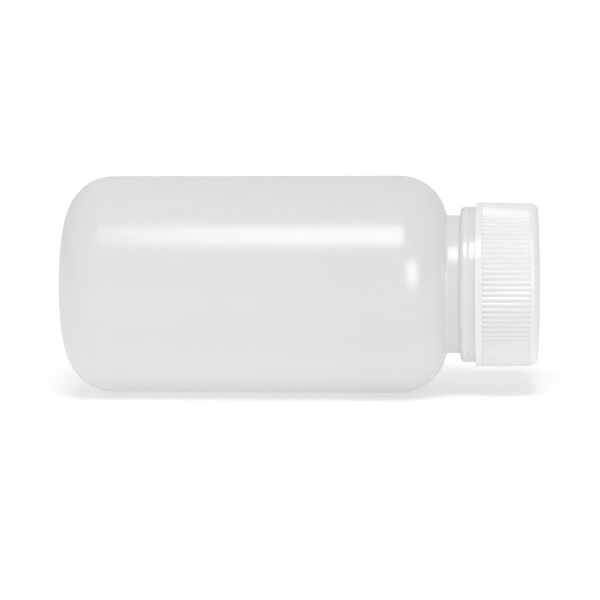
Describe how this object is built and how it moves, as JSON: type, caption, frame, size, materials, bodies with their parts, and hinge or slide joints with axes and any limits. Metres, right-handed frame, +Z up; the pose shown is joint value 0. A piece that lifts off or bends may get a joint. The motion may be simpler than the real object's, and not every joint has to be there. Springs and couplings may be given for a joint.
{
  "type": "wide-mouth laboratory bottle",
  "caption": "Wide-mouth round plastic laboratory bottle lying on its side, with a ribbed screw cap and sealing liner that unscrew and lift clear of the mouth.",
  "frame": {"origin": "on the surface the bottle lies on, under the middle of its overall length", "axes": "+X along the bottle's axis from base to cap, +Z up, +Y across"},
  "size_m": [0.1632, 0.075, 0.075],
  "materials": {
    "natural_plastic": "satin",
    "white_plastic": "satin",
    "liner_foam": "matte"
  },
  "bodies": {
    "bottle_body": {"bottle": "natural_plastic"},
    "liner_body": {"cap_liner": "liner_foam"},
    "cap_body": {"screw_cap": "white_plastic"}
  },
  "joints": [
    {"name": "cap_lift", "type": "slide", "parent": "bottle_body", "child": "liner_body", "axis": [1, 0, 0], "range_m": [0, 0.02115]},
    {"name": "cap_turn", "type": "hinge", "parent": "liner_body", "child": "cap_body", "pos_m": [0.0708, 0, 0.0375], "axis": [1, 0, 0], "range_deg": [0, 1800]}
  ],
  "couplings": [
    {"joint": "cap_lift", "follows": "cap_turn", "m_per_rad": 0.00067322}
  ]
}
